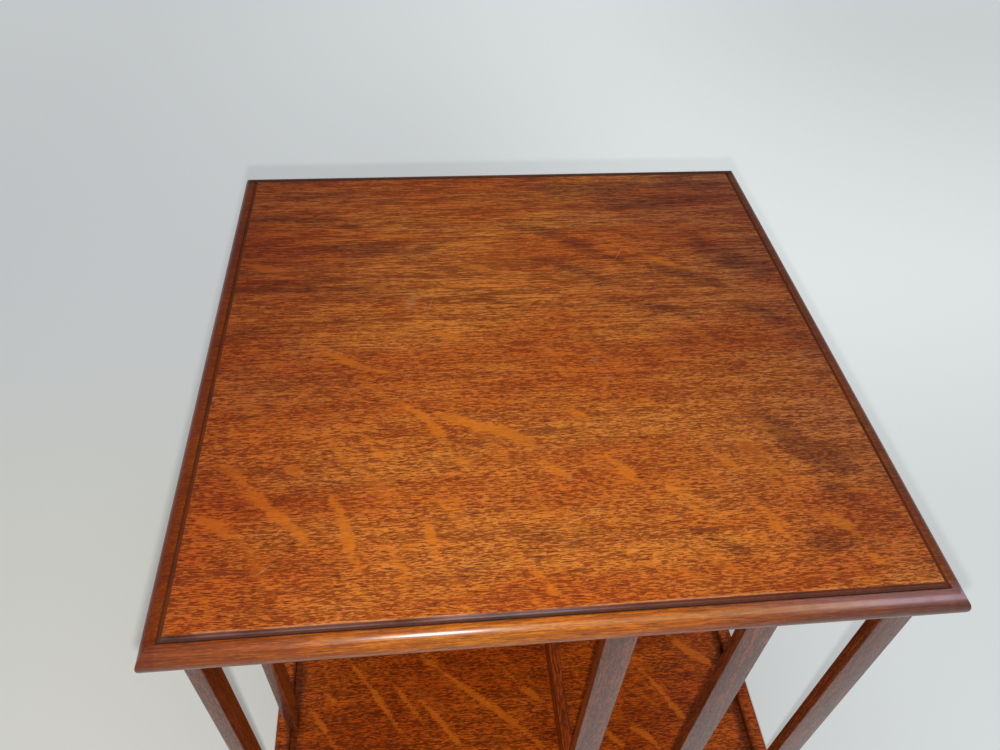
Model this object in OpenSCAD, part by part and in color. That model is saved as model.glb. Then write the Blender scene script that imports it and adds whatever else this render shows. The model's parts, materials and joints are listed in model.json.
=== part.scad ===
// Revolving bookcase for a table top, in oak.
// The carcass is two square boards joined by twelve slats and a square casing.
// It turns on a post that stands in a cross-shaped base with four turned feet.
// Millimetres. The origin is under the middle of the base, with Z up and the front at -Y.

/* [Boards] */
// Distance from the axis to the outer faces of the slats
slat_line = 162; // [150:1:200]
// How far the top board reaches past the slats
top_overhang = 13; // [10:1:30]
// How far the bottom board reaches past the slats
bottom_overhang = 8; // [7:1:20]
// Thickness of both boards
board_t = 15; // [12:0.5:20]
// Clear height for books between the boards
book_h = 254; // [200:1:320]

/* [Edge of the top board] */
// Width of the sunk quirk round the field
quirk_w = 3; // [2:0.5:5]
// Depth of the quirk below the field
quirk_d = 2; // [1.5:0.25:4]
// How far the crown of the thumb moulding lies below the field
crown_drop = 1; // [0.5:0.25:1.25]

/* [Edge of the bottom board] */
// Radius of the rounded edges of the bottom board
edge_r = 2.5; // [1.5:0.5:4]

/* [Slats] */
// Width of a slat, along its side of the bookcase
slat_w = 15; // [10:0.5:22]
// Thickness of a slat
slat_t = 7; // [6:0.5:9]
// How far the end slat of a side reaches past the slats of the next side
end_slat_past = 5.5; // [0:0.5:6]
// Width of the housings, which is also the width of the groove round the bottom board
housing_w = 5; // [3.5:0.5:5.5]
// Depth of the housings and of the groove
housing_d = 4; // [2:0.5:6]

/* [Casing and rails] */
// Distance from the axis to the middle of a casing board
core_line = 28; // [26:0.5:45]
// Thickness of the casing boards and rails
casing_t = 7; // [5:0.5:8]
// Depth of the housings of the casing boards in the two boards
casing_housing_d = 3; // [1.5:0.5:5]
// Height of a rail above the bottom board
rail_h = 22; // [12:1:60]

/* [Base] */
// Height of the feet
foot_h = 16; // [12:1:24]
// Radius of a foot at its widest
foot_r = 15; // [13:0.5:17]
// Radius of the neck of a foot
neck_r = 9; // [7.5:0.5:12]
// Height of the neck of a foot
neck_h = 3; // [1.5:0.5:5]
// Radius of the spigot on top of a foot
spigot_r = 6; // [4:0.5:7]
// Length of the spigot
spigot_h = 14; // [8:1:18]
// Distance from the axis to the middle of a foot
foot_reach = 165; // [130:1:190]
// Thickness of a bearer of the base
bearer_t = 22; // [20:1:30]
// Width of a bearer
bearer_w = 38; // [36:1:50]
// How far a bearer reaches past the middle of its foot
bearer_end = 20; // [18:1:26]
// Radius of the collar on the crossing
collar_r = 30; // [26:1:36]
// Height of the collar
collar_h = 6; // [4:0.5:12]
// Gap between the collar and the bottom board
turning_gap = 4; // [3:0.5:8]

/* [Post and pivot] */
// Radius of the tenon at the foot of the post
tenon_r = 10; // [8:0.5:12]
// Radius of the post where it passes through the guide ring
journal_r = 15; // [14:0.5:16]
// Radius of the post at its head
head_r = 12; // [10:0.5:13]
// Height of the straight head of the post
head_h = 24; // [10:1:60]
// Radius of the bead above the journal
bead_r = 3; // [2:0.5:4]
// Thickness of the wedge at its thick end
wedge_t = 3; // [2:0.25:4]
// Thickness of the wedge at its thin end
wedge_tip_t = 0.8; // [0.4:0.1:1.5]
// Length of the wedge
wedge_l = 15; // [10:0.5:18]
// How far the wedge stops short of the side of the tenon
wedge_margin = 1.5; // [1:0.25:3]
// Radius of the pivot pin
pin_r = 4; // [3:0.5:5]
// Length of the pivot pin that is set in the post
pin_set = 30; // [20:1:40]
// Height of the pivot pin above the post
pin_stand = 12; // [10:1:20]
// Side of the square plate of the pivot cup
cup_side = 40; // [34:1:42]
// Thickness of the plates of the pivot cup and the guide ring
plate_t = 2.5; // [2:0.25:3]
// Radius of the boss of the pivot cup
cup_boss_r = 8; // [7:0.5:9]
// Height of the boss below its plate
cup_boss_h = 6; // [4.5:0.5:8]
// Radius of the flange of the guide ring
flange_r = 26; // [24.5:0.5:29]
// Wall of the sleeve of the guide ring
sleeve_wall = 2; // [1.5:0.25:2.5]

/* [Screws] */
// Radius of the shank of a screw
screw_r = 1.25; // [1:0.25:1.5]
// Radius of the head of a screw
screw_head_r = 2.25; // [2:0.25:2.5]
// Height of the countersunk head of a screw
countersink_h = 1.5; // [1:0.1:1.9]
// Length of a screw
screw_l = 11; // [9:0.5:12]

/* [Fits] */
// Gap all round a glued or pressed joint
glue_gap = 0.05; // [0.02:0.01:0.1]
// Gap between two parts that turn on each other
running_gap = 0.08; // [0.04:0.01:0.1]
// Gap between the end of the pivot pin and the floor of its cup
end_gap = 0.2; // [0.1:0.05:0.3]

/* [Hidden] */
$fn = 96;

// Turns about the axis that carry the front side to each side
FRONT = 0;
RIGHT = 90;
BACK = 180;
LEFT = 270;

// Heights, from the surface that the bookcase stands on
bearer_z = foot_h;
collar_z = bearer_z + bearer_t;
bottom_z = collar_z + collar_h + turning_gap;
shelf_z = bottom_z + board_t;
ceiling_z = shelf_z + book_h;
top_z = ceiling_z + board_t;

// Half the side of each board
top_half = slat_line + top_overhang;
bottom_half = slat_line + bottom_overhang;

// The thumb moulding is a half round as thick as the board less its drop
thumb_r = (board_t - crown_drop) / 2;
field_half = top_half - thumb_r - quirk_w;

// Slats stand with their inner faces on the inner wall of the housings
slat_inner = slat_line - slat_t;
end_slat = slat_line + end_slat_past - slat_w / 2;
slat_places = [core_line, (core_line + end_slat) / 2, end_slat];

// Casing
casing_outer = core_line + casing_t / 2;
casing_inner = core_line - casing_t / 2;

// The cup hangs under the top board and the pin stands up into it
cup_floor_z = ceiling_z - plate_t;
pin_top_z = cup_floor_z - end_gap;
post_top_z = pin_top_z - pin_stand;

// The bead of the post starts where its journal ends, clear above the guide ring
journal_spare = 8;
bead_z = shelf_z + journal_spare + bead_r;

// Screws lie midway between the boss or sleeve and the rim of their plate
cup_screw_reach = (cup_boss_r + cup_side / 2 * sqrt(2)) / 2;
sleeve_outer = journal_r + running_gap + sleeve_wall;
ring_screw_reach = (sleeve_outer + flange_r) / 2;

// How far a cutter reaches past the face that it cuts
cut = 1;

// Repeats a shape at four equal turns about the axis
module four_times() {
    for (turn = [FRONT, RIGHT, BACK, LEFT])
        rotate([0, 0, turn]) children();
}

// A square block about the axis, from one height to another
module square_block(half, z0, z1) {
    translate([-half, -half, z0]) cube([2 * half, 2 * half, z1 - z0]);
}

// The section of a board across its width, with half-round edges
module half_round_section(half, r, t) {
    translate([r - half, 0]) square([2 * (half - r), t]);
    for (side = [-1, 1])
        translate([side * (half - r), r]) circle(r);
}

// The section of a board with its upper and lower corners rounded
module eased_section(half, r, t) {
    translate([r - half, 0]) square([2 * (half - r), t]);
    translate([-half, r]) square([2 * half, t - 2 * r]);
    for (side = [-1, 1], z = [r, t - r])
        translate([side * (half - r), z]) circle(r);
}

// A section run through the board both ways, so that its edges meet in mitres
module mitred_board(half) {
    intersection() {
        rotate([90, 0, 0]) linear_extrude(2 * half + 2 * cut, center = true) children();
        rotate([90, 0, 90]) linear_extrude(2 * half + 2 * cut, center = true) children();
    }
}

// A blind housing for one slat in the front side of a board, from one height to another
module slat_housing(place, z0, z1) {
    translate([place - slat_w / 2 - glue_gap, -slat_inner - housing_w, z0])
        cube([slat_w + 2 * glue_gap, housing_w, z1 - z0]);
}

// The housings of all twelve slats
module slat_housings(z0, z1) {
    four_times()
        for (place = slat_places) slat_housing(place, z0, z1);
}

// The housings of the four casing boards, which join into a square channel
module casing_housings(z0, z1) {
    difference() {
        square_block(casing_outer + glue_gap, z0, z1);
        square_block(casing_inner - glue_gap, z0 - cut, z1 + cut);
    }
}

// Top board: a raised field inside a sunk quirk and a thumb moulding
module top_board() {
    color("sienna") difference() {
        union() {
            translate([0, 0, ceiling_z])
                mitred_board(top_half) half_round_section(top_half, thumb_r, 2 * thumb_r);
            square_block(field_half, ceiling_z, top_z);
        }
        difference() {
            square_block(field_half + quirk_w, top_z - quirk_d, top_z + cut);
            square_block(field_half, top_z - quirk_d - cut, top_z + 2 * cut);
        }
        slat_housings(ceiling_z - cut, ceiling_z + housing_d);
        casing_housings(ceiling_z - cut, ceiling_z + casing_housing_d);
        screws(cup_screw_reach, cup_floor_z, glue_gap);
    }
}

// Bottom board: a field inside the groove that takes the feet of the slats
module bottom_board() {
    color("sienna") difference() {
        translate([0, 0, bottom_z])
            mitred_board(bottom_half) eased_section(bottom_half, edge_r, board_t);
        difference() {
            square_block(slat_inner + housing_w, shelf_z - housing_d, shelf_z + cut);
            square_block(slat_inner, shelf_z - housing_d - cut, shelf_z + 2 * cut);
        }
        slat_housings(shelf_z - housing_d, shelf_z + cut);
        casing_housings(shelf_z - casing_housing_d, shelf_z + cut);
        translate([0, 0, bottom_z - cut])
            cylinder(board_t + 2 * cut, r = sleeve_outer + glue_gap);
        translate([0, 0, bottom_z - cut])
            cylinder(plate_t + cut, r = flange_r + glue_gap);
        screws(ring_screw_reach, bottom_z, glue_gap);
    }
}

// A slat of the front side, with a tongue at each end that fills its housing
module slat(place) {
    tongue_l = housing_d - glue_gap;
    color("saddlebrown") union() {
        translate([place - slat_w / 2, -slat_line, shelf_z])
            cube([slat_w, slat_t, book_h]);
        translate([place - slat_w / 2, -slat_inner - housing_w + glue_gap, shelf_z - tongue_l])
            cube([slat_w, housing_w - 2 * glue_gap, book_h + 2 * tongue_l]);
    }
}

// Casing board of the front side: its end shows in line with the front rail
module casing_board() {
    tongue_l = casing_housing_d - glue_gap;
    color("peru")
        translate([casing_inner, -casing_outer, shelf_z - tongue_l])
            cube([casing_t, casing_inner + casing_outer, book_h + 2 * tongue_l]);
}

// Rail of the front side, from the casing to the first slat
module rail() {
    color("chocolate")
        translate([core_line - casing_t / 2, -slat_inner, shelf_z])
            cube([casing_t, slat_inner - casing_outer, rail_h]);
}

// A countersunk wood screw that points up from the origin, where its head is flush
module screw(grow = 0) {
    cylinder(screw_l + grow, r = screw_r + grow);
    cylinder(countersink_h, r1 = screw_head_r + grow, r2 = screw_r + grow);
}

// Four screws on the diagonals of a plate
module screws(reach, z, grow = 0) {
    rotate([0, 0, 45]) four_times()
        translate([reach, 0, z]) screw(grow);
}

// Pivot cup: a plate under the top board with a boss bored for the pin
module pivot_cup() {
    color("darkgoldenrod") difference() {
        union() {
            square_block(cup_side / 2, cup_floor_z, ceiling_z);
            translate([0, 0, cup_floor_z - cup_boss_h]) cylinder(cup_boss_h, r = cup_boss_r);
        }
        translate([0, 0, cup_floor_z - cup_boss_h - cut])
            cylinder(cup_boss_h + cut, r = pin_r + running_gap);
        screws(cup_screw_reach, cup_floor_z, glue_gap);
    }
}

module pivot_cup_screws() {
    color("goldenrod") screws(cup_screw_reach, cup_floor_z);
}

// Guide ring: a flanged sleeve let into the bottom board, which runs round the journal
module guide_ring() {
    color("darkgoldenrod") difference() {
        union() {
            translate([0, 0, bottom_z]) cylinder(board_t, r = sleeve_outer);
            translate([0, 0, bottom_z]) cylinder(plate_t, r = flange_r);
        }
        translate([0, 0, bottom_z - cut])
            cylinder(board_t + 2 * cut, r = journal_r + running_gap);
        screws(ring_screw_reach, bottom_z, glue_gap);
    }
}

module guide_ring_screws() {
    color("goldenrod") screws(ring_screw_reach, bottom_z);
}

// One bearer along X, as long as two feet need, with rounded ends
module bearer_blank() {
    reach = foot_reach + bearer_end;
    end_r = bearer_w / 2;
    translate([0, 0, bearer_z]) difference() {
        union() {
            translate([end_r - reach, -end_r, 0]) cube([2 * (reach - end_r), bearer_w, bearer_t]);
            for (side = [-1, 1])
                translate([side * (reach - end_r), 0, 0]) cylinder(bearer_t, r = end_r);
        }
        translate([0, 0, -cut]) cylinder(bearer_t + 2 * cut, r = tenon_r + glue_gap);
        for (side = [-1, 1])
            translate([side * foot_reach, 0, -cut])
                cylinder(spigot_h + glue_gap + cut, r = spigot_r + glue_gap);
    }
}

// Half the thickness of a bearer at the crossing, which the other bearer fills
module crossing_notch(z0, z1) {
    half = bearer_w / 2 + glue_gap;
    translate([-half, -half - cut, z0]) cube([2 * half, 2 * half + 2 * cut, z1 - z0]);
}

// The bearer that passes under at the crossing
module bearer_under() {
    mid_z = bearer_z + bearer_t / 2;
    color("saddlebrown") rotate([0, 0, 45]) difference() {
        bearer_blank();
        crossing_notch(mid_z, collar_z + cut);
    }
}

// The bearer that passes over at the crossing
module bearer_over() {
    mid_z = bearer_z + bearer_t / 2;
    color("saddlebrown") rotate([0, 0, -45]) difference() {
        bearer_blank();
        crossing_notch(bearer_z - cut, mid_z);
    }
}

// A turned foot: a bun cut flat at both ends, a neck, and a spigot in the bearer
module foot() {
    bun_h = foot_h - neck_h;
    color("saddlebrown") translate([foot_reach, 0, 0]) union() {
        intersection() {
            translate([0, 0, bun_h / 2]) sphere(foot_r);
            cylinder(bun_h, r = foot_r);
        }
        cylinder(foot_h, r = neck_r);
        translate([0, 0, foot_h - cut]) cylinder(spigot_h + cut, r = spigot_r);
    }
}

// Collar: a turned ring round the foot of the post, on the crossing
module base_collar() {
    round_r = collar_h / 2;
    color("saddlebrown") translate([0, 0, collar_z]) difference() {
        union() {
            cylinder(collar_h, r = collar_r - round_r);
            translate([0, 0, round_r]) rotate_extrude()
                translate([collar_r - round_r, 0]) circle(round_r);
        }
        translate([0, 0, -cut]) cylinder(collar_h + 2 * cut, r = journal_r + glue_gap);
    }
}

// Post: a tenon in the base, a journal, a bead, and a taper up to the head
module post() {
    color("peru") difference() {
        union() {
            translate([0, 0, bearer_z]) cylinder(bearer_t, r = tenon_r);
            translate([0, 0, collar_z]) cylinder(bead_z - bead_r - collar_z, r = journal_r);
            translate([0, 0, bead_z]) rotate_extrude()
                translate([journal_r - bead_r, 0]) circle(bead_r);
            translate([0, 0, bead_z - bead_r]) cylinder(2 * bead_r, r = journal_r - bead_r);
            translate([0, 0, bead_z])
                cylinder(post_top_z - head_h - bead_z, r1 = journal_r - bead_r / 2, r2 = head_r);
            translate([0, 0, post_top_z - head_h]) cylinder(head_h, r = head_r);
        }
        translate([0, 0, post_top_z - pin_set]) cylinder(pin_set + cut, r = pin_r + glue_gap);
        wedge(glue_gap);
    }
}

// The wedge points up into the tenon, and its slot is the same shape a little larger
module wedge(grow = 0) {
    half_w = tenon_r - wedge_margin + grow;
    foot_t = wedge_t / 2 + grow;
    tip_t = wedge_tip_t / 2 + grow;
    translate([0, 0, bearer_z]) rotate([90, 0, 45])
        linear_extrude(2 * half_w, center = true)
            polygon([[-foot_t, 0], [foot_t, 0], [tip_t, wedge_l + grow], [-tip_t, wedge_l + grow]]);
}

module post_wedge() {
    color("tan") wedge();
}

// Pivot pin: a straight pin with a domed end
module pivot_pin() {
    dome_h = pin_r / 2;
    dome_r = (pin_r * pin_r + dome_h * dome_h) / (2 * dome_h);
    color("silver") union() {
        translate([0, 0, post_top_z - pin_set])
            cylinder(pin_set + pin_stand - dome_h, r = pin_r);
        intersection() {
            translate([0, 0, pin_top_z - dome_r]) sphere(dome_r);
            translate([0, 0, pin_top_z - dome_h - cut]) cylinder(dome_h + 2 * cut, r = pin_r);
        }
    }
}

top_board();
bottom_board();
rotate([0, 0, FRONT]) slat(slat_places[0]);  // slat_front_1
rotate([0, 0, FRONT]) slat(slat_places[1]);  // slat_front_2
rotate([0, 0, FRONT]) slat(slat_places[2]);  // slat_front_3
rotate([0, 0, RIGHT]) slat(slat_places[0]);  // slat_right_1
rotate([0, 0, RIGHT]) slat(slat_places[1]);  // slat_right_2
rotate([0, 0, RIGHT]) slat(slat_places[2]);  // slat_right_3
rotate([0, 0, BACK]) slat(slat_places[0]);  // slat_back_1
rotate([0, 0, BACK]) slat(slat_places[1]);  // slat_back_2
rotate([0, 0, BACK]) slat(slat_places[2]);  // slat_back_3
rotate([0, 0, LEFT]) slat(slat_places[0]);  // slat_left_1
rotate([0, 0, LEFT]) slat(slat_places[1]);  // slat_left_2
rotate([0, 0, LEFT]) slat(slat_places[2]);  // slat_left_3
rotate([0, 0, FRONT]) casing_board();  // casing_board_front
rotate([0, 0, RIGHT]) casing_board();  // casing_board_right
rotate([0, 0, BACK]) casing_board();  // casing_board_back
rotate([0, 0, LEFT]) casing_board();  // casing_board_left
rotate([0, 0, FRONT]) rail();  // rail_front
rotate([0, 0, RIGHT]) rail();  // rail_right
rotate([0, 0, BACK]) rail();  // rail_back
rotate([0, 0, LEFT]) rail();  // rail_left
pivot_cup();
pivot_cup_screws();
guide_ring();
guide_ring_screws();
bearer_under();
bearer_over();
rotate([0, 0, FRONT - 45]) foot();  // foot_front_right
rotate([0, 0, RIGHT - 45]) foot();  // foot_back_right
rotate([0, 0, BACK - 45]) foot();  // foot_back_left
rotate([0, 0, LEFT - 45]) foot();  // foot_front_left
base_collar();
post();
post_wedge();
pivot_pin();
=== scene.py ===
# %% [markdown]
# # A revolving bookcase in quarter-sawn oak
#
# The bookcase stands on a table. Two square boards are joined by twelve slats and turn
# together on a post. Its construction is already settled in CAD, where every joint has its
# place. This script models each piece again with softened edges and worn corners, and gives
# it a finish. The CAD frame comes in first, because every piece is placed by it.

# %% Bring in the frame
import json
import math
import random
from types import SimpleNamespace

import bpy
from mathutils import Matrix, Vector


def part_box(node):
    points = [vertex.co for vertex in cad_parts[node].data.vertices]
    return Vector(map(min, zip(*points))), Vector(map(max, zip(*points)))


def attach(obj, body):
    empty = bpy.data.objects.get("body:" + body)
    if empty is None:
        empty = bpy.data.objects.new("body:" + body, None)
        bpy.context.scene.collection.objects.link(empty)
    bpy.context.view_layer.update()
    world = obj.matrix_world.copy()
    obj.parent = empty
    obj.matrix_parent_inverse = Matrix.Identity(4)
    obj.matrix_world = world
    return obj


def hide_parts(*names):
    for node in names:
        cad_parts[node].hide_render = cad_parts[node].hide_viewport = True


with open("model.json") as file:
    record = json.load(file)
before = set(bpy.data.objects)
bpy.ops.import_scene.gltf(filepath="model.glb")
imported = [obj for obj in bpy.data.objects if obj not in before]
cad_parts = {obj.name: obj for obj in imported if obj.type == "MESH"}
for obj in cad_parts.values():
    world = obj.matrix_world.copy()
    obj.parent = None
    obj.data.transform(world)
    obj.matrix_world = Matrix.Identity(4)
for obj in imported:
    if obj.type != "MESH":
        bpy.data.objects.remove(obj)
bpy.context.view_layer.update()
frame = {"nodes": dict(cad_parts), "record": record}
print("parts in the frame:", len(frame["nodes"]))

# %% [markdown]
# ## The camera
#
# The photograph is taken standing up, with the camera close to the front edge of the top and
# looking down at about 46 degrees. Its place was worked out from the corners of the square
# top and from the upright slats. A wide lens this close makes the front of the top look much
# wider than its back, so the distance matters as much as the angle.

# %% Set up the camera
eye = bpy.data.cameras.new("camera")
eye.sensor_width = 36
eye.lens = 28.65
camera = bpy.data.objects.new("camera", eye)
camera.location = (-0.055817, -0.322508, 0.634968)
camera.rotation_euler = (0.77424, -0.036666, -0.094464)
bpy.context.scene.collection.objects.link(camera)
bpy.context.scene.camera = camera
bpy.context.scene.view_settings.view_transform = "Standard"

# %% [markdown]
# ## Names and units
#
# Joiners think in millimetres and Blender in metres, so sizes are written in millimetres here
# and multiplied by MM where an operator needs them. Many sizes needn't be typed again, because
# the CAD parts lie in the scene and can be measured there.

# %% Helper that measures a CAD part
MM = 0.001
X, Y, Z = range(3)


def ends(node, axis):
    """Where a CAD part begins and ends along an axis, in mm."""
    return [round(corner[axis] / MM, 2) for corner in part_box(node)]


print("the top board lies between", ends("top_board", Z), "mm")

# %% [markdown]
# An operator acts on whatever is selected, so each step begins by letting go of everything, and
# then picks what it needs by its place.

# %% Helpers to let go and to pick


def let_go():
    """Leaves edit mode and deselects every object."""
    if bpy.context.mode != "OBJECT":
        bpy.ops.object.mode_set(mode="OBJECT")
    bpy.ops.object.select_all(action="DESELECT")


def hold(piece):
    """Makes a piece the only selected object."""
    let_go()
    piece.select_set(True)
    bpy.context.view_layer.objects.active = piece


def pick(piece, kind, wanted):
    """Opens a piece with only its wanted faces or edges selected, by middle (mm) and direction."""
    hold(piece)
    bpy.ops.object.mode_set(mode="EDIT")
    bpy.ops.mesh.select_mode(type=kind)
    bpy.ops.mesh.select_all(action="DESELECT")
    bpy.ops.object.mode_set(mode="OBJECT")
    if kind == "FACE":
        for face in piece.data.polygons:
            face.select = wanted(face.center / MM, face.normal)
    else:
        for edge in piece.data.edges:
            start, end = (piece.data.vertices[i].co for i in edge.vertices)
            edge.select = wanted((start + end) / 2 / MM, (end - start).normalized())
    bpy.ops.object.mode_set(mode="EDIT")


# %% [markdown]
# A new primitive gets its name at once, and its place is applied to its mesh, so that its
# object stays at the origin. Every finish below reads Object coordinates, and they are then
# the same as places in the room.

# %% Helpers to name, to ease edges and to close a piece


def named(name):
    """Names the object just added and moves its place into its mesh."""
    piece = bpy.context.object
    piece.name = name
    piece.data.name = name
    bpy.ops.object.transform_apply(location=True, rotation=True, scale=True)
    return piece


def block(name, low, high):
    """A box between two corners given in mm, to be shaped further."""
    let_go()
    middle = [(a + b) / 2 * MM for a, b in zip(low, high)]
    size = [(b - a) * MM for a, b in zip(low, high)]
    bpy.ops.mesh.primitive_cube_add(size=1, location=middle, scale=size)
    return named(name)


def ease(piece, width, steps, wanted):
    """Rounds the wanted edges of a piece by a width in mm."""
    pick(piece, "EDGE", wanted)
    bpy.ops.mesh.bevel(offset=width * MM, segments=steps, profile=0.5, affect="EDGES")
    let_go()


def close_up(piece):
    """Merges doubled points, turns all faces outwards and reports open edges."""
    hold(piece)
    bpy.ops.object.mode_set(mode="EDIT")
    bpy.ops.mesh.select_all(action="SELECT")
    bpy.ops.mesh.remove_doubles(threshold=0.002 * MM)
    bpy.ops.mesh.normals_make_consistent(inside=False)
    bpy.ops.mesh.select_mode(type="EDGE")
    bpy.ops.mesh.select_all(action="DESELECT")
    bpy.ops.mesh.select_non_manifold()
    bpy.ops.object.mode_set(mode="OBJECT")
    still_open = sum(edge.select for edge in piece.data.edges)
    print(piece.name, "faces:", len(piece.data.polygons), "open edges:", still_open)
    return piece


# %% [markdown]
# ## Mouldings and turnings
#
# A moulded board and a turned foot are made by the same move. An outline is extruded a little,
# scaled to its next width, extruded again, and so on down the list of rings. A square outline
# gives a board with mitred mouldings, and a round one gives a turning. The real moulding is
# planed and the real foot is turned on a lathe, but both are just such a row of widths.

# %% Helpers that carry an outline along a profile
SIDES = 64


def carry(rings, centre=(0, 0)):
    """Extrudes the selected outline from ring to ring. A ring is a half width and a height."""
    for (half, height), (next_half, next_height) in zip(rings, rings[1:]):
        rise = (next_height - height) * MM
        bpy.ops.mesh.extrude_region_move(TRANSFORM_OT_translate={"value": (0, 0, rise)})
        grow = next_half / half
        pivot = (centre[0] * MM, centre[1] * MM, next_height * MM)
        bpy.ops.transform.resize(value=(grow, grow, 1), center_override=pivot)


def turned(name, rings, centre=(0, 0), bored=False, sides=SIDES):
    """A turning: a circle carried through rings of radius and height, solid or with a bore."""
    let_go()
    radius, height = rings[0]
    place = (centre[0] * MM, centre[1] * MM, height * MM)
    bpy.ops.mesh.primitive_circle_add(
        vertices=sides,
        radius=radius * MM,
        fill_type="NOTHING" if bored else "NGON",
        location=place,
    )
    piece = named(name)
    bpy.ops.object.mode_set(mode="EDIT")
    bpy.ops.mesh.select_all(action="SELECT")
    carry(rings + rings[:1] if bored else rings, centre)
    return close_up(piece)


def arc(middle, height, radius, start, end, steps):
    """Rings along an arc of a section, from one angle to another, in degrees from level."""
    turn = (end - start) / steps
    angles = [math.radians(start + turn * step) for step in range(steps + 1)]
    return [(middle + radius * math.cos(a), height + radius * math.sin(a)) for a in angles]


# %% [markdown]
# ## The top board
#
# The top is the face of this bookcase. Its field stands a little proud, with a sunk quirk round
# it, and a thumb moulding runs round the outside. It starts as a fine grid for the field,
# because the ray figure of the oak is painted on the grid's points later. The border of
# the grid is then carried out and down through the quirk and round the half-round edge. The
# quirk is 3 mm wide and 2 mm deep, and the crown of the moulding lies 1 mm below the field.

# %% Model the field, the quirk and the moulding
CEILING_Z, TOP_Z = ends("top_board", Z)
TOP_HALF = ends("top_board", X)[1]
QUIRK_W, QUIRK_D, CROWN_DROP, THUMB_R = 3, 2, 1, 7
FIELD_HALF = TOP_HALF - THUMB_R - QUIRK_W


def board(name, half, height, squares, rings):
    """A square board: a grid for its upper face, carried through rings, and closed below."""
    let_go()
    bpy.ops.mesh.primitive_grid_add(
        x_subdivisions=squares,
        y_subdivisions=squares,
        size=2 * half * MM,
        location=(0, 0, height * MM),
    )
    piece = named(name)
    rim = half - 0.01
    pick(piece, "EDGE", lambda at, way: max(abs(at.x), abs(at.y)) > rim)
    carry([(half, height)] + rings)
    bpy.ops.mesh.edge_face_add()
    return close_up(piece)


quirk_floor = TOP_Z - QUIRK_D
crown = TOP_Z - CROWN_DROP
top_rings = [
    (FIELD_HALF - 0.15, TOP_Z - 0.08),
    (FIELD_HALF, TOP_Z - 0.35),
    (FIELD_HALF, quirk_floor + 0.3),
    (FIELD_HALF + 0.3, quirk_floor),
    (FIELD_HALF + QUIRK_W - 1.2, quirk_floor),
    (FIELD_HALF + QUIRK_W - 0.8, quirk_floor + 0.25),
    (FIELD_HALF + QUIRK_W - 0.5, quirk_floor + 0.7),
    (FIELD_HALF + QUIRK_W - 0.1, crown - 0.08),
]
top_rings += arc(TOP_HALF - THUMB_R, CEILING_Z + THUMB_R, THUMB_R, 88, -90, 16)
top_board = board("top_board_oak", FIELD_HALF - 0.5, TOP_Z, 130, top_rings)

# %% [markdown]
# ## Housings
#
# Each slat ends in a tongue that is let into a housing, a shallow slot. A joiner chops it out
# with a chisel, and here a Boolean modifier does the same with a block for a cutter. Cutters
# that don't touch are joined first, so that one Boolean cuts all twelve housings. Each is larger
# than its tongue by a thin gap for glue. The joints can't be seen from outside, but they are
# what holds the slats.

# %% Cut the housings in the underside of the top
SLAT_LINE, SLAT_INNER = (-level for level in ends("slat_front_1", Y))
SLAT_SPANS = [ends(f"slat_front_{count}", X) for count in (1, 2, 3)]
SLAT_PLACES = [(start + end) / 2 for start, end in SLAT_SPANS]
SLAT_W = SLAT_SPANS[0][1] - SLAT_SPANS[0][0]
SLAT_T = SLAT_LINE - SLAT_INNER
CASING_IN, CASING_OUT = ends("casing_board_front", X)
HOUSING_W, HOUSING_D, CASING_DEEP, GLUE = 5, 4, 3, 0.05
QUARTERS = {"front": 0, "right": 90, "back": 180, "left": 270}


def turn_about_axis(piece, degrees):
    """Turns a piece about the upright axis, in its mesh."""
    hold(piece)
    piece.rotation_euler.z = math.radians(degrees)
    bpy.ops.object.transform_apply(location=False, rotation=True, scale=False)
    return piece


def another(piece, name, degrees=0, slide=0):
    """A copy with its own mesh, slid along X in mm and then turned about the axis."""
    hold(piece)
    bpy.ops.object.duplicate()
    copy = bpy.context.object
    copy.location.x = slide * MM
    named(name)
    return turn_about_axis(copy, degrees)


def combine(pieces):
    """Joins several pieces into the first."""
    let_go()
    for piece in pieces:
        piece.select_set(True)
    bpy.context.view_layer.objects.active = pieces[0]
    if len(pieces) > 1:
        bpy.ops.object.join()
    return pieces[0]


def cut(piece, cutters, way="DIFFERENCE"):
    """Cuts a piece with cutters, or melts them together, and removes the cutters."""
    cutter = combine(cutters)
    hold(piece)
    modifier = piece.modifiers.new("joint", "BOOLEAN")
    modifier.operation = way
    modifier.solver = "EXACT"
    modifier.object = cutter
    bpy.ops.object.modifier_apply(modifier=modifier.name)
    bpy.data.objects.remove(cutter)
    return piece


def slat_cutters(places, low, high):
    """Blocks for the housings of the slats at some places of each side, between two heights."""
    cutters = []
    for turn in QUARTERS.values():
        for place in places:
            near = (place - SLAT_W / 2 - GLUE, -SLAT_INNER - HOUSING_W, low)
            far = (place + SLAT_W / 2 + GLUE, -SLAT_INNER, high)
            cutters.append(turn_about_axis(block("housing", near, far), turn))
    return cutters


def casing_cutter(low, high):
    """A square ring for the channel of the casing boards, between two heights."""
    wide = CASING_OUT + GLUE
    slim = CASING_IN - GLUE
    outer = block("channel", (-wide, -wide, low), (wide, wide, high))
    inner = block("core", (-slim, -slim, low - 1), (slim, slim, high + 1))
    return cut(outer, [inner])


cut(top_board, slat_cutters(SLAT_PLACES, CEILING_Z - 1, CEILING_Z + HOUSING_D))
cut(top_board, [casing_cutter(CEILING_Z - 1, CEILING_Z + CASING_DEEP)])
close_up(top_board)

# %% [markdown]
# ## The bottom board
#
# The lower board has plain rounded edges and a sunk groove in line with the slats, which
# stand in it. It is made as the top is. Its field carries long ray ribbons, so its grid is
# finer.

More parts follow.
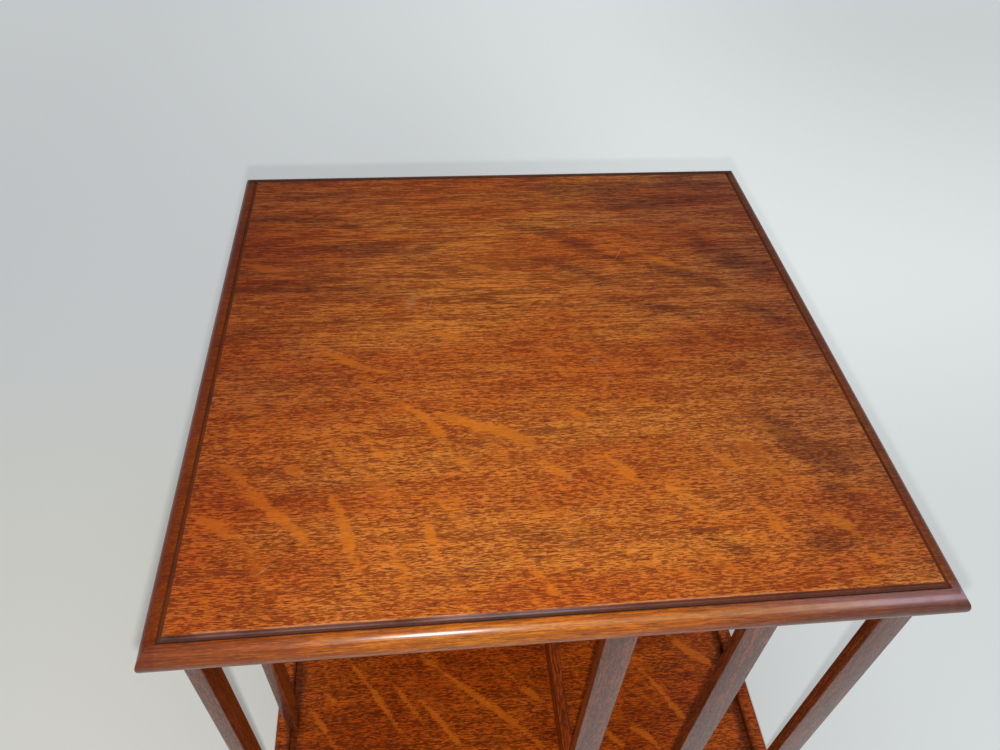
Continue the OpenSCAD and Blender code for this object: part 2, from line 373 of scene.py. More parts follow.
# %% Model the bottom board
BOTTOM_Z, SHELF_Z = ends("bottom_board", Z)
BOTTOM_HALF = ends("bottom_board", X)[1]
EDGE_R = 2.5
groove_in, groove_out = SLAT_INNER, SLAT_INNER + HOUSING_W
edge_middle = BOTTOM_HALF - EDGE_R
shelf_rings = [
    (groove_in - 0.1, SHELF_Z - 0.1),
    (groove_in, SHELF_Z - 0.4),
    (groove_in, SHELF_Z - HOUSING_D),
    (groove_out, SHELF_Z - HOUSING_D),
    (groove_out, SHELF_Z - 0.4),
    (groove_out + 0.3, SHELF_Z),
]
shelf_rings += arc(edge_middle, SHELF_Z - EDGE_R, EDGE_R, 90, 0, 5)
shelf_rings += arc(edge_middle, BOTTOM_Z + EDGE_R, EDGE_R, 0, -90, 5)
bottom_board = board("bottom_board_oak", groove_in - 0.4, SHELF_Z, 150, shelf_rings)

# %% [markdown]
# Most slats stand in the groove. Only the last slat of each side reaches past the corner of the
# groove, so the same blocks cut a housing for that one alone. A round hole takes the guide ring,
# which turns on the post with a thin running gap, and a shallow seat below takes the flange of
# the ring. The cutters of both are turnings.

# %% Cut the housings, the hole and the seat of the guide ring
JOURNAL_R = ends("post", X)[1]
FLANGE_R = ends("guide_ring", X)[1]
PLATE_T, SLEEVE_WALL, RUNNING = 2.5, 2, 0.08
SLEEVE_R = JOURNAL_R + RUNNING + SLEEVE_WALL
hole = turned("hole", [(SLEEVE_R + GLUE, BOTTOM_Z - 1), (SLEEVE_R + GLUE, SHELF_Z + 1)])
seat = turned("seat", [(FLANGE_R + GLUE, BOTTOM_Z - 1), (FLANGE_R + GLUE, BOTTOM_Z + PLATE_T)])
cut(bottom_board, slat_cutters(SLAT_PLACES[-1:], SHELF_Z - HOUSING_D, SHELF_Z + 1))
cut(bottom_board, [casing_cutter(SHELF_Z - CASING_DEEP, SHELF_Z + 1)])
cut(bottom_board, [hole])
cut(bottom_board, [seat])
close_up(bottom_board)

# %% [markdown]
# ## The slats
#
# Twelve slats stand three to a side, set like the sails of a windmill, so that each side is the
# last one turned by a quarter. One slat is modelled, with a thinner tongue extruded
# from each end and its long edges just broken by sandpaper. The other eleven are copies, each
# with its own mesh.

# %% Model one slat and stand twelve
TONGUE_L = HOUSING_D - GLUE
first = SLAT_PLACES[0]
slat = block(
    "slat",
    (first - SLAT_W / 2, -SLAT_LINE, SHELF_Z),
    (first + SLAT_W / 2, -SLAT_INNER, CEILING_Z),
)
ease(slat, 0.5, 3, lambda at, way: abs(way.z) > 0.9)
tongue_middle = -SLAT_INNER - HOUSING_W / 2
slim = (HOUSING_W - 2 * GLUE) / SLAT_T
for end, level in ((-1, SHELF_Z), (1, CEILING_Z)):
    pick(slat, "FACE", lambda at, way: way.z * end > 0.9)
    shift = (tongue_middle + (SLAT_LINE + SLAT_INNER) / 2) * MM
    bpy.ops.mesh.extrude_region_move(TRANSFORM_OT_translate={"value": (0, shift, 0)})
    pivot = (first * MM, tongue_middle * MM, level * MM)
    bpy.ops.transform.resize(value=(0.99, slim, 1), center_override=pivot)
    reach = (0, 0, end * TONGUE_L * MM)
    bpy.ops.mesh.extrude_region_move(TRANSFORM_OT_translate={"value": reach})
close_up(slat)

slats = {}
for side, turn in QUARTERS.items():
    for count, place in enumerate(SLAT_PLACES, 1):
        node = f"slat_{side}_{count}"
        slats[node] = another(slat, node + "_oak", turn, place - first)
bpy.data.objects.remove(slat)
print("slats:", len(slats))

# %% [markdown]
# ## The casing and the rails
#
# Four thin boards make a square casing that hides the post, each lapping the end of the next.
# A low rail runs from the end of each board out to the first slat and parts two bays of books.
# These are plain boards, planed and sanded, so each is a block with its long edges broken.

# %% Model the casing boards and the rails
RAIL_TOP = ends("rail_front", Z)[1]
tongue = CASING_DEEP - GLUE
casing = block(
    "casing",
    (CASING_IN, -CASING_OUT, SHELF_Z - tongue),
    (CASING_OUT, CASING_IN, CEILING_Z + tongue),
)
ease(casing, 0.4, 2, lambda at, way: abs(way.z) > 0.9)
close_up(casing)
rail = block(
    "rail",
    (CASING_IN, -SLAT_INNER, SHELF_Z),
    (CASING_OUT, -CASING_OUT, RAIL_TOP),
)
ease(rail, 0.8, 3, lambda at, way: abs(way.y) > 0.9 and at.z > SHELF_Z + 1)
close_up(rail)

casing_boards = {}
rails = {}
for side, turn in QUARTERS.items():
    casing_boards["casing_board_" + side] = another(casing, f"casing_board_{side}_oak", turn)
    rails["rail_" + side] = another(rail, f"rail_{side}_oak", turn)
bpy.data.objects.remove(casing)
bpy.data.objects.remove(rail)
print("casing boards:", len(casing_boards), "rails:", len(rails))

# %% [markdown]
# ## The base
#
# Two bearers cross under the carcass, halved into each other, with a turned foot near each
# end. The ends of a bearer are made round by a bevel as wide as half the bearer. The halving is
# then cut with a block, from above in one bearer and from below in the other.

# %% Model the bearers
BEARER_Z, COLLAR_Z = ends("bearer_under", Z)
BEARER_W, BEARER_REACH, BEARER_EASE = 38, 185, 1.5
FOOT_REACH, SPIGOT_R, SPIGOT_L, TENON_R = 165, 6, 14, 10


def bearer(name, low, high, turn):
    """A bearer along X with a notch between two heights, turned to its place."""
    half = BEARER_W / 2
    piece = block(name, (-BEARER_REACH, -half, BEARER_Z), (BEARER_REACH, half, COLLAR_Z))
    ease(piece, half - 0.4, 12, lambda at, way: abs(way.z) > 0.9)
    pick(piece, "FACE", lambda at, way: abs(way.z) > 0.9)
    bpy.ops.mesh.region_to_loop()
    bpy.ops.mesh.bevel(offset=BEARER_EASE * MM, segments=3, profile=0.5, affect="EDGES")
    let_go()
    wide = half + GLUE
    notch = block("notch", (-wide, -wide - 1, low), (wide, wide + 1, high))
    mortice = turned("mortice", [(TENON_R + GLUE, BEARER_Z - 1), (TENON_R + GLUE, COLLAR_Z + 1)])
    top_of_spigot = BEARER_Z + SPIGOT_L + GLUE
    spigot_rings = [(SPIGOT_R + GLUE, BEARER_Z - 1), (SPIGOT_R + GLUE, top_of_spigot)]
    cutters = [turned("spigot hole", spigot_rings, (side * FOOT_REACH, 0)) for side in (-1, 1)]
    cut(piece, [notch])
    cut(piece, [mortice])
    cut(piece, cutters)
    return close_up(turn_about_axis(piece, turn))


bearer_mid = (BEARER_Z + COLLAR_Z) / 2
bearers = {
    "bearer_under": bearer("bearer_under_oak", bearer_mid, COLLAR_Z + 1, 45),
    "bearer_over": bearer("bearer_over_oak", BEARER_Z - 1, bearer_mid, -45),
}

# %% [markdown]
# The feet are turned buns with a short neck and a spigot glued into the bearer. The collar is
# a flat ring with a half-round edge that covers the crossing and the foot of the post.

# %% Model the feet and the collar
BUN_H, FOOT_R, SHOULDER_R, NECK_R = 13, 15, 12.4, 9
FOOT_CORNERS = {"front_right": -45, "back_right": 45, "back_left": 135, "front_left": 225}
lean = math.degrees(math.asin(BUN_H / 2 / FOOT_R))
foot_rings = [(FOOT_R * math.cos(math.radians(lean)) - 0.5, 0)]
foot_rings += arc(0, BUN_H / 2, FOOT_R, -lean + 1, lean - 1, 12)
foot_rings += [(SHOULDER_R, BUN_H), (NECK_R + 0.6, BUN_H), (NECK_R, BUN_H + 0.6)]
foot_rings += [(NECK_R, BEARER_Z), (SPIGOT_R, BEARER_Z)]
foot_rings += [(SPIGOT_R, BEARER_Z + SPIGOT_L - 0.5), (SPIGOT_R - 0.5, BEARER_Z + SPIGOT_L)]
foot = turned("foot", foot_rings, (FOOT_REACH, 0))
feet = {}
for corner, turn in FOOT_CORNERS.items():
    feet["foot_" + corner] = another(foot, f"foot_{corner}_oak", turn)
bpy.data.objects.remove(foot)

COLLAR_R = ends("base_collar", X)[1]
COLLAR_H = ends("base_collar", Z)[1] - COLLAR_Z
collar_rings = [(JOURNAL_R + GLUE, COLLAR_Z), (COLLAR_R - COLLAR_H / 2, COLLAR_Z)]
collar_rings += arc(COLLAR_R - COLLAR_H / 2, COLLAR_Z + COLLAR_H / 2, COLLAR_H / 2, -80, 90, 10)
collar_rings += [(JOURNAL_R + GLUE, COLLAR_Z + COLLAR_H)]
collar = turned("base_collar_oak", collar_rings, bored=True)

# %% [markdown]
# ## The post and the pivot
#
# The post is one turning in beech: a tenon wedged in the base, a journal that the guide ring
# runs on, a bead, and a long taper. A steel pin stands in its head and carries the carcass by
# a brass cup under the top. The slot for the wedge is cut with the wedge's own shape.

# %% Model the post, its wedge and the pin
POST_TOP = ends("post", Z)[1]
PIN_FOOT, PIN_TIP = ends("pivot_pin", Z)
PIN_R = ends("pivot_pin", X)[1]
BEAD_Z, BEAD_R, HEAD_R, HEAD_H = 74, 3, 12, 24
PIN_DOME = ((3.86, 1.7), (3.2, 1), (2.2, 0.4), (1.1, 0.1), (0.3, 0))  # radius, below the tip
post_rings = [(TENON_R - 0.3, BEARER_Z), (TENON_R, BEARER_Z + 0.3), (TENON_R, COLLAR_Z)]
post_rings += [(JOURNAL_R, COLLAR_Z), (JOURNAL_R, BEAD_Z - BEAD_R - 0.3)]
post_rings += [(JOURNAL_R - 0.3, BEAD_Z - BEAD_R), (JOURNAL_R - BEAD_R, BEAD_Z - BEAD_R)]
post_rings += arc(JOURNAL_R - BEAD_R, BEAD_Z, BEAD_R, -80, 55, 9)
taper_foot = JOURNAL_R - BEAD_R / 2 - 0.05
post_rings += [(taper_foot, BEAD_Z + 3.2), (HEAD_R + 0.02, POST_TOP - HEAD_H)]
post_rings += [(HEAD_R, POST_TOP - HEAD_H + 1), (HEAD_R, POST_TOP - 1), (HEAD_R - 1, POST_TOP)]
post = turned("post_beech", post_rings)

WEDGE_W, WEDGE_L, WEDGE_T, WEDGE_TIP, WEDGE_TURN = 8.5, 15, 1.5, 0.4, 135


def wedge(name, grow):
    """A wedge that stands in the foot of the post, larger all round by a gap."""
    side = WEDGE_W + grow
    thick = WEDGE_T + grow
    piece = block(name, (-side, -thick, BEARER_Z), (side, thick, BEARER_Z + WEDGE_L + grow))
    pick(piece, "FACE", lambda at, way: way.z > 0.9)
    pivot = (0, 0, (BEARER_Z + WEDGE_L) * MM)
    thin = (WEDGE_TIP + grow) / thick
    bpy.ops.transform.resize(value=(1, thin, 1), center_override=pivot)
    let_go()
    return turn_about_axis(piece, WEDGE_TURN)


wedge_slot = wedge("slot", GLUE)
pin_hole = turned("hole", [(PIN_R + GLUE, PIN_FOOT), (PIN_R + GLUE, POST_TOP + 1)])
cut(post, [wedge_slot])
cut(post, [pin_hole])
close_up(post)
post_wedge = wedge("post_wedge_oak", 0)
ease(post_wedge, 0.15, 1, lambda at, way: abs(way.z) > 0.9)
close_up(post_wedge)

pin_rings = [(PIN_R - 0.4, PIN_FOOT), (PIN_R, PIN_FOOT + 0.4), (PIN_R, PIN_TIP - 2)]
pin_rings += [(radius, PIN_TIP - below) for radius, below in PIN_DOME]
pin = turned("pivot_pin_steel", pin_rings, sides=48)

# %% [markdown]
# The cup and the ring are brass. The cup is a square plate with a round boss, which a Boolean
# melts into it before the bore is cut. The ring is one turning with a bore: a flange below and a
# sleeve that fills the hole in the board.

# %% Model the brass cup and the guide ring
CUP_HALF = ends("pivot_cup", X)[1]
BOSS_R, BOSS_H = 8, 6
cup_floor = CEILING_Z - PLATE_T
cup_corners = (-CUP_HALF, -CUP_HALF, cup_floor), (CUP_HALF, CUP_HALF, CEILING_Z)
pivot_cup = block("pivot_cup_brass", *cup_corners)
ease(pivot_cup, 2, 4, lambda at, way: abs(way.z) > 0.9)
ease(pivot_cup, 0.3, 2, lambda at, way: abs(way.z) < 0.1 and at.z < cup_floor + 0.1)
boss_rings = [(BOSS_R - 0.4, cup_floor - BOSS_H), (BOSS_R, cup_floor - BOSS_H + 0.4)]
boss_rings += [(BOSS_R, cup_floor + 1)]
cut(pivot_cup, [turned("boss", boss_rings)], "UNION")
bore_rings = [(PIN_R + RUNNING, cup_floor - BOSS_H - 1), (PIN_R + RUNNING, cup_floor)]
cut(pivot_cup, [turned("bore", bore_rings)])

ring_in = JOURNAL_R + RUNNING
ring_rings = [(ring_in, BOTTOM_Z + 0.3), (ring_in + 0.3, BOTTOM_Z), (FLANGE_R - 0.3, BOTTOM_Z)]
ring_rings += [(FLANGE_R, BOTTOM_Z + 0.3), (FLANGE_R, BOTTOM_Z + PLATE_T)]
ring_rings += [(SLEEVE_R, BOTTOM_Z + PLATE_T), (SLEEVE_R, SHELF_Z - 0.2), (SLEEVE_R - 0.2, SHELF_Z)]
ring_rings += [(ring_in + 0.2, SHELF_Z), (ring_in, SHELF_Z - 0.2)]
guide_ring = turned("guide_ring_brass", ring_rings, bored=True)

# %% [markdown]
# Four slotted screws on its diagonals hold each of them. A screw is a small turning with a slot
# sawn across its head. It is modelled once and copied, and a slightly larger one, without its
# slot, cuts the holes.

# %% Model the screws and sink their heads
SCREW_R, HEAD_HALF, SINK, SCREW_L = 1.25, 2.25, 1.5, 11
SLOT_HALF, SLOT_DEEP = 0.3, 0.6


def screw(name, reach, level, grow=0, slotted=True):
    """A countersunk screw that points up, its head flush with a level."""
    rings = [(HEAD_HALF + grow, level - (1 if grow else 0)), (HEAD_HALF + grow, level + 0.01)]
    rings += [(SCREW_R + grow, level + SINK), (SCREW_R + grow, level + SCREW_L - 1.5)]
    rings += [(0.3 + grow, level + SCREW_L + grow)]
    piece = turned(name, rings, (reach, 0), sides=24)
    if slotted:
        near = (reach - SLOT_HALF, -2 * HEAD_HALF, level - 1)
        far = (reach + SLOT_HALF, 2 * HEAD_HALF, level + SLOT_DEEP)
        cut(piece, [block("saw", near, far)])
    return piece


def four_screws(name, reach, level):
    """Four screws on the diagonals, all copies of one."""
    model = screw("screw", reach, level)
    made = [another(model, name, 45 + 90 * count) for count in range(4)]
    bpy.data.objects.remove(model)
    return close_up(combine(made))


def sink_screws(piece, reach, level):
    """Holes for four screws in a piece."""
    model = screw("sink", reach, level, GLUE, False)
    cut(piece, [another(model, "sink", 45 + 90 * count) for count in range(4)])
    bpy.data.objects.remove(model)
    return close_up(piece)


cup_reach = (BOSS_R + CUP_HALF * math.sqrt(2)) / 2
ring_reach = (SLEEVE_R + FLANGE_R) / 2
sink_screws(pivot_cup, cup_reach, cup_floor)
sink_screws(guide_ring, ring_reach, BOTTOM_Z)
sink_screws(top_board, cup_reach, cup_floor)
sink_screws(bottom_board, ring_reach, BOTTOM_Z)
cup_screws = four_screws("pivot_cup_screws_brass", cup_reach, cup_floor)
ring_screws = four_screws("guide_ring_screws_brass", ring_reach, BOTTOM_Z)

# %% [markdown]
# ## Smooth and flat
#
# Faces that meet at a small angle belong to one curve and are shaded smooth. A sharper corner
# stays a corner.

# %% Shade every piece by its angles
pieces = {
    "top_board": top_board,
    "bottom_board": bottom_board,
    **slats,
    **casing_boards,
    **rails,
    **bearers,
    **feet,
    "base_collar": collar,
    "post": post,
    "post_wedge": post_wedge,
    "pivot_pin": pin,
    "pivot_cup": pivot_cup,
    "pivot_cup_screws": cup_screws,
    "guide_ring": guide_ring,
    "guide_ring_screws": ring_screws,
}
for piece in pieces.values():
    hold(piece)
    bpy.ops.object.shade_smooth_by_angle(angle=math.radians(32))
let_go()
print("pieces:", len(pieces))

# %% [markdown]
# ## The figure of the oak
#
# Quarter-sawn oak shows its rays as bright flecks that drift across the grain, and old stain
# leaves smoky ribbons between them. Noise alone gives flecks of one size everywhere. The real
# top has a few bold ones towards the front and smoky ribbons towards the back, so they are
# laid one by one here, each as a soft stroke: middle x and y, direction in degrees, length,
# width (mm) and strength. Each stroke is written on the points of the field as an attribute,
# and the finish later frays its edges with grain.

# %% Helper that lays strokes on a board
STROKE_BODY = 0.8  # the finish frays a stroke outwards, so it is laid a little slimmer
STROKE_SWAY = 0.5  # how far a stroke snakes to either side, in half widths
STROKE_REACH = 1.6  # past this many half lengths from its middle a stroke covers nothing


def lay_strokes(piece, attribute, strokes, level):
    """Writes how much strokes cover each point of a board's upper face, from 0 to 1."""
    mesh = piece.data
    made = mesh.attributes.new(attribute, "FLOAT", "POINT")
    laid = []
    for x, y, direction, length, width, strength in strokes:
        way = math.radians(direction)
        half_w = width / 2 * STROKE_BODY
        laid.append((x, y, math.cos(way), math.sin(way), length / 2, half_w, strength))
    cover = []
    for vertex in mesh.vertices:
        px, py, pz = vertex.co / MM
        most = 0.0
        if pz > level - 0.2:
            for x, y, c, s, half_l, half_w, strength in laid:
                along = ((px - x) * c + (py - y) * s) / half_l
                if abs(along) < STROKE_REACH:
                    across = ((py - y) * c - (px - x) * s) / half_w
                    across += STROKE_SWAY * math.sin(2.2 * along + x)
                    fade = 1 - (along * along + across * across) / 2
                    most = max(most, fade * strength)
        cover.append(most)
    made.data.foreach_set("value", cover)
    print(piece.name, attribute, "strokes:", len(strokes))


# %% [markdown]
# The strokes of the top are laid one by one. They cross the grain at about 45 degrees in front and
# lie flatter towards the back.

# %% Lay the rays and the smoke of the top
top_rays = [
    (-99, -11, -31, 50, 7, 0.9), (-58, -58, -49, 36, 6, 0.9), (-28, -65, -30, 48, 9, 1.0),
    (4, -94, -45, 21, 7, 1.0), (37, -97, -47, 38, 7, 0.9), (63, -115, -48, 42, 5, 0.9),
    (-123, -112, -50, 44, 7, 1.0), (-94, -122, -66, 40, 7, 1.0), (-57, -127, -68, 27, 7, 0.9),
    (-153, -114, -45, 21, 8, 1.0), (-81, -75, -45, 32, 6, 0.8), (-101, -74, -50, 24, 6, 0.7),
    (-146, -88, -45, 24, 6, 0.7), (-120, -86, -20, 10, 6, 0.9), (-13, -148, -45, 30, 7, 0.8),
    (-45, 4, -25, 30, 5, 0.8), (20, -57, -42, 22, 5, 0.7), (88, -93, -40, 22, 6, 0.7),
    (101, -132, -60, 24, 5, 0.9), (130, -132, -50, 24, 7, 0.8), (-70, -142, -40, 16, 6, 0.8),
    (-152, -152, -45, 16, 6, 0.7), (-40, -86, -45, 12, 5, 0.8), (62, -55, -30, 28, 5, 0.6),
    (112, -105, -45, 30, 5, 0.7), (-98, 45, -20, 30, 8, 0.6), (-150, 70, -15, 36, 8, 0.6),
    (95, 65, -25, 46, 8, 0.7), (-20, 62, -15, 30, 7, 0.6), (-130, -40, -30, 26, 5, 0.6),
    (140, -150, -45, 18, 6, 0.7), (50, 92, -5, 40, 7, 0.5), (-80, 100, -5, 40, 7, 0.5),
    (30, -135, -55, 26, 5, 0.6), (-150, -60, -40, 20, 5, 0.6), (130, 30, -30, 34, 6, 0.6),
]
top_smoke = [
    (37, 88, -31, 74, 15, 1.0), (35, 60, -36, 50, 12, 0.9), (140, 70, -42, 80, 24, 0.9),
    (-97, 83, -5, 84, 20, 0.8), (-120, 46, 0, 104, 18, 0.8), (-100, 110, 20, 14, 9, 1.0),
    (-53, 86, -20, 16, 9, 1.0), (133, -86, -35, 54, 22, 0.9), (105, 50, -30, 60, 12, 0.8),
    (80, 20, -20, 50, 12, 0.6), (140, -115, -40, 30, 14, 0.8), (122, -141, -30, 24, 14, 0.9),
    (-60, 140, 0, 120, 10, 0.6), (90, 150, 0, 140, 18, 0.9), (110, 130, -3, 110, 14, 0.8),
    (-140, 120, 0, 60, 16, 0.7), (-138, -140, -35, 40, 12, 0.4), (-10, -128, -40, 36, 12, 0.4),
    (38, -150, -25, 50, 9, 0.4), (-35, -30, -15, 50, 12, 0.3), (150, 0, -50, 60, 16, 0.7),
    (-155, 15, -10, 40, 16, 0.6), (0, 30, -15, 60, 12, 0.5), (75, -140, -30, 30, 10, 0.6),
]
lay_strokes(top_board, "ray", top_rays, TOP_Z)
lay_strokes(top_board, "smoke", top_smoke, TOP_Z)

# %% [markdown]
# The lower board has longer and narrower rays that all lie the same way. The ones that show in
# front are listed one by one. The rest of the board is filled with strokes from a seeded random
# generator, so that the board is the same every time.

# %% Lay the rays of the bottom board
shelf_rays = [
    (-101, -84, -54, 78, 4.5, 0.9), (-78, -91, -58, 60, 4, 0.8), (-57, -104, -50, 52, 5, 0.9),
    (-28, -90, -42, 110, 6, 1.0), (0, -80, -47, 74, 4, 0.7), (12, -92, -42, 34, 5, 0.8),
    (106, -99, -56, 62, 6, 0.9), (135, -68, -50, 44, 8, 1.0), (45, -74, -70, 44, 4, 0.6),
    (64, -125, -45, 20, 5, 0.9), (86, -126, -45, 26, 6, 0.9), (-139, -101, -52, 40, 5, 0.8),
    (-132, -84, -40, 20, 4, 0.8), (158, -128, -65, 30, 3, 0.5), (-150, -76, -30, 20, 4, 0.5),
]
MORE_RAYS = 46
dice = random.Random(7)
for _ in range(MORE_RAYS):
    x, y = dice.uniform(-150, 150), dice.uniform(-145, 150)
    if y > -50 or y < -135:
        length, width = dice.uniform(25, 80), dice.uniform(3.5, 7)
        shelf_rays.append((x, y, dice.uniform(-60, -42), length, width, dice.uniform(0.6, 1)))
lay_strokes(bottom_board, "ray", shelf_rays, SHELF_Z)
lay_strokes(bottom_board, "smoke", [], SHELF_Z)

# %% [markdown]
# ## Writing finishes as sums
#
# A Blender material is a graph of nodes. Long graphs are hard to read as a list of links, so a
# small class wraps one output socket and lets values be added and multiplied as in any sum. An
# expression on two values adds the Math nodes that work it out. Everything that isn't
# a sum comes from one method, which takes a node's type, its settings and what feeds it.

# %% The class for values and the class for finishes


class Value:
    """One output socket of a graph, with the sums that it can take part in."""

    def __init__(self, graph, socket):
        self.graph = graph
        self.socket = socket

    def sum(self, operation, first, second=0.0):
        """Adds a Math node and gives what it works out."""
        inputs = {"Value": first, "Value_001": second}
        return self.graph.node("Math", {"operation": operation}, inputs)

    def __add__(self, other):
        return self.sum("ADD", self, other)

    def __radd__(self, other):
        return self.sum("ADD", other, self)

    def __sub__(self, other):
        return self.sum("SUBTRACT", self, other)

    def __rsub__(self, other):
        return self.sum("SUBTRACT", other, self)

    def __mul__(self, other):
        return self.sum("MULTIPLY", self, other)

    def __rmul__(self, other):
        return self.sum("MULTIPLY", other, self)

    def __abs__(self):
        return self.sum("ABSOLUTE", self)

    def at_least(self, other):
        return self.sum("MAXIMUM", self, other)


class Graph:
    """The node graph of a material or a world, and the short ways to add to it."""

    def __init__(self, owner):
        owner.use_nodes = True
        self.owner = owner
        self.tree = owner.node_tree
        self.tree.nodes.clear()

    def node(self, kind, settings, inputs, output=0):
        """Adds a node: settings first, then the values or links of its sockets."""
        node = self.tree.nodes.new("ShaderNode" + kind)
        for name, value in settings.items():
            setattr(node, name, value)
        known = {socket.identifier: socket for socket in node.inputs}
        for name, value in inputs.items():
            socket = known.get(name) or node.inputs[name]
            if isinstance(value, Value):
                self.tree.links.new(value.socket, socket)
            else:
                socket.default_value = value
        return Value(self, node.outputs[output]) if node.outputs else node

    def place(self):
        """The place of a point of the piece, in metres."""
        return self.node("TexCoord", {}, {}, "Object")

    def parts(self, place):
        """The X, Y and Z of a place, as three values."""
        node = self.node("SeparateXYZ", {}, {"Vector": place}).socket.node
        return [Value(self, socket) for socket in node.outputs]

    def parts_mm(self):
        """The X, Y and Z of a point of the piece, in mm."""
        inputs = {"Vector": self.place(), "Scale": 1 / MM}
        return self.parts(self.node("VectorMath", {"operation": "SCALE"}, inputs))

    def turned(self, place, turn):
        """A place turned by angles in degrees about X, Y and Z."""
        angles = [math.radians(angle) for angle in turn]
        return self.node("Mapping", {}, {"Vector": place, "Rotation": angles})

    def noise(self, place, per_metre, detail=2.0, rough=0.5):
        """Soft random values round 0.5, so many to a metre along, across and through the grain."""
        scaled = {"Vector": place, "Vector_001": per_metre}
        steps = self.node("VectorMath", {"operation": "MULTIPLY"}, scaled)
        inputs = {"Vector": steps, "Scale": 1.0, "Detail": detail, "Roughness": rough}
        return self.node("TexNoise", {"noise_dimensions": "3D"}, inputs)

    def rise(self, value, low, high):
        """0 below low, 1 above high and a smooth rise between them."""
        inputs = {"Value": value, "From Min": low, "From Max": high}
        return self.node("MapRange", {"interpolation_type": "SMOOTHSTEP"}, inputs)

    def fall(self, value, low, high):
        """1 below low, 0 above high and a smooth fall between them."""
        return 1 - self.rise(value, low, high)

    def band(self, value, start, full, fade, end):
        """0 outside start and end, and 1 between full and fade."""
        return self.rise(value, start, full) * self.fall(value, fade, end)

    def mix(self, factor, first, second):
        """A colour between two colours."""
        inputs = {"Factor_Float": factor, "A_Color": first, "B_Color": second}
        return self.node("Mix", {"data_type": "RGBA"}, inputs, 2)

    def stain(self, factor, tone, tint):
        """A colour seen through a tint, so that its grain keeps its contrast."""
        inputs = {"Factor_Float": factor, "A_Color": tone, "B_Color": tint}
        return self.node("Mix", {"data_type": "RGBA", "blend_type": "MULTIPLY"}, inputs, 2)

    def laid(self, name):
        """A value that was written on the points of a piece."""
        return self.node("Attribute", {"attribute_name": name}, {}, "Fac")

    def relief(self, height, depth, strength=1.0):
        """A bumpy surface from a height, as deep as a depth in mm."""
        inputs = {"Strength": strength, "Distance": depth * MM, "Height": height}
        return self.node("Bump", {}, inputs)

    def finish_with(self, sockets):
        """Ends the graph in a Principled shader with these sockets."""
        shader = self.node("BsdfPrincipled", {}, sockets)
        self.node("OutputMaterial", {}, {"Surface": shader})
        return self.owner


def new_finish(name):
    """An empty material, ready for its nodes."""
    return Graph(bpy.data.materials.new(name))


def shade(red, green, blue):
    """A colour as a paint chart gives it, 0 to 255, in the linear values that Blender uses."""
    linear = []
    for part in (red, green, blue):
        part /= 255
        linear.append(part / 12.92 if part < 0.04045 else ((part + 0.055) / 1.055) ** 2.4)
    return (*linear, 1.0)


# %% [markdown]
# ## Oak
#
# Stained and polished oak is a bright orange wood covered with short dark dashes, which are
# the cut tubes of the wood filled with stain. A tube runs along the grain, so it is a noise
# stretched along it. One such noise looks printed, so three are added: short dots, dashes and
# long streaks. Which of them leads changes slowly over the board. From the end the same tubes
# show as dots, because the noises lie in space and the board only cuts them. Rays cover the
# tubes, so a ray is a patch where the dashes fade and the bright wood shows. Slow clouds of
# tone and smoky ribbons lie under it all. The polish is the shader's clear coat, which mirrors
# the room over the wood without changing its colour.

# %% The oak finish
SMOKE, TUBE = shade(78, 28, 20), shade(40, 16, 8)
PLAIN = (0.7, 0.0, 0.0)  # dashes of middling length, no rays and no smoke


def oak(name, turn, tones, figure=None, touch=None, polish=0.3, fine=1.0):
    """Polished oak. Its grain is turned to X by angles in degrees about X, Y and Z."""
    ground, cloud, dash, fleck = tones
    graph = new_finish(name)
    grain = graph.turned(graph.place(), turn)
    slow = graph.noise(grain, (9, 34, 34), 3.0, 0.55)
    bands = graph.noise(grain, (14, 150, 150), 3.0, 0.6)
    fray = graph.noise(grain, (190, 1300, 1300), 2.0, 0.6)
    dots = graph.noise(grain, (360 * fine, 2200 * fine, 2200 * fine), 1.0, 0.6)
    dashes = graph.noise(grain, (100 * fine, 1700 * fine, 1700 * fine), 1.0, 0.6)
    streaks = graph.noise(grain, (45 * fine, 1100 * fine, 1300 * fine), 2.0, 0.6)
    short = dots * 0.7 + dashes * 0.3
    long = dots * 0.25 + dashes * 0.35 + streaks * 0.4
    length, ray, smoke = figure(graph, slow, bands, fray) if figure else PLAIN
    mark = short + (long - short) * length + (bands - 0.5) * 0.2
    lines = graph.rise(mark, 0.44, 0.53) * (1 - ray * 0.72)
    tubes = graph.rise(graph.noise(grain, (150, 1900, 1900), 1.0), 0.6, 0.68) * (1 - ray * 0.7)
    tone = graph.mix(graph.rise(slow, 0.36, 0.66), cloud, ground)
    tone = graph.mix(graph.rise(bands, 0.5, 0.72) * 0.16, tone, dash)
    tone = graph.mix(ray * 0.68, tone, fleck)
    tone = graph.mix(lines * 0.74, tone, dash)
    tone = graph.mix(smoke * 0.5, tone, SMOKE)
    tone = graph.mix(tubes * 0.6, tone, TUBE)
    if touch:
        tone, polish = touch(graph, tone)
    rub = graph.noise(grain, (60, 90, 90), 3.0)
    height = slow * 0.3 - lines * 0.35 - tubes
    return graph.finish_with({
        "Base Color": tone,
        "Roughness": 0.3 + rub * 0.16 + tubes * 0.2,
        "Normal": graph.relief(height, 0.12, 0.35),
        "Specular IOR Level": 0.06,
        "Coat Weight": polish,
        "Coat Roughness": 0.24,
        "Coat IOR": 1.6,
    })
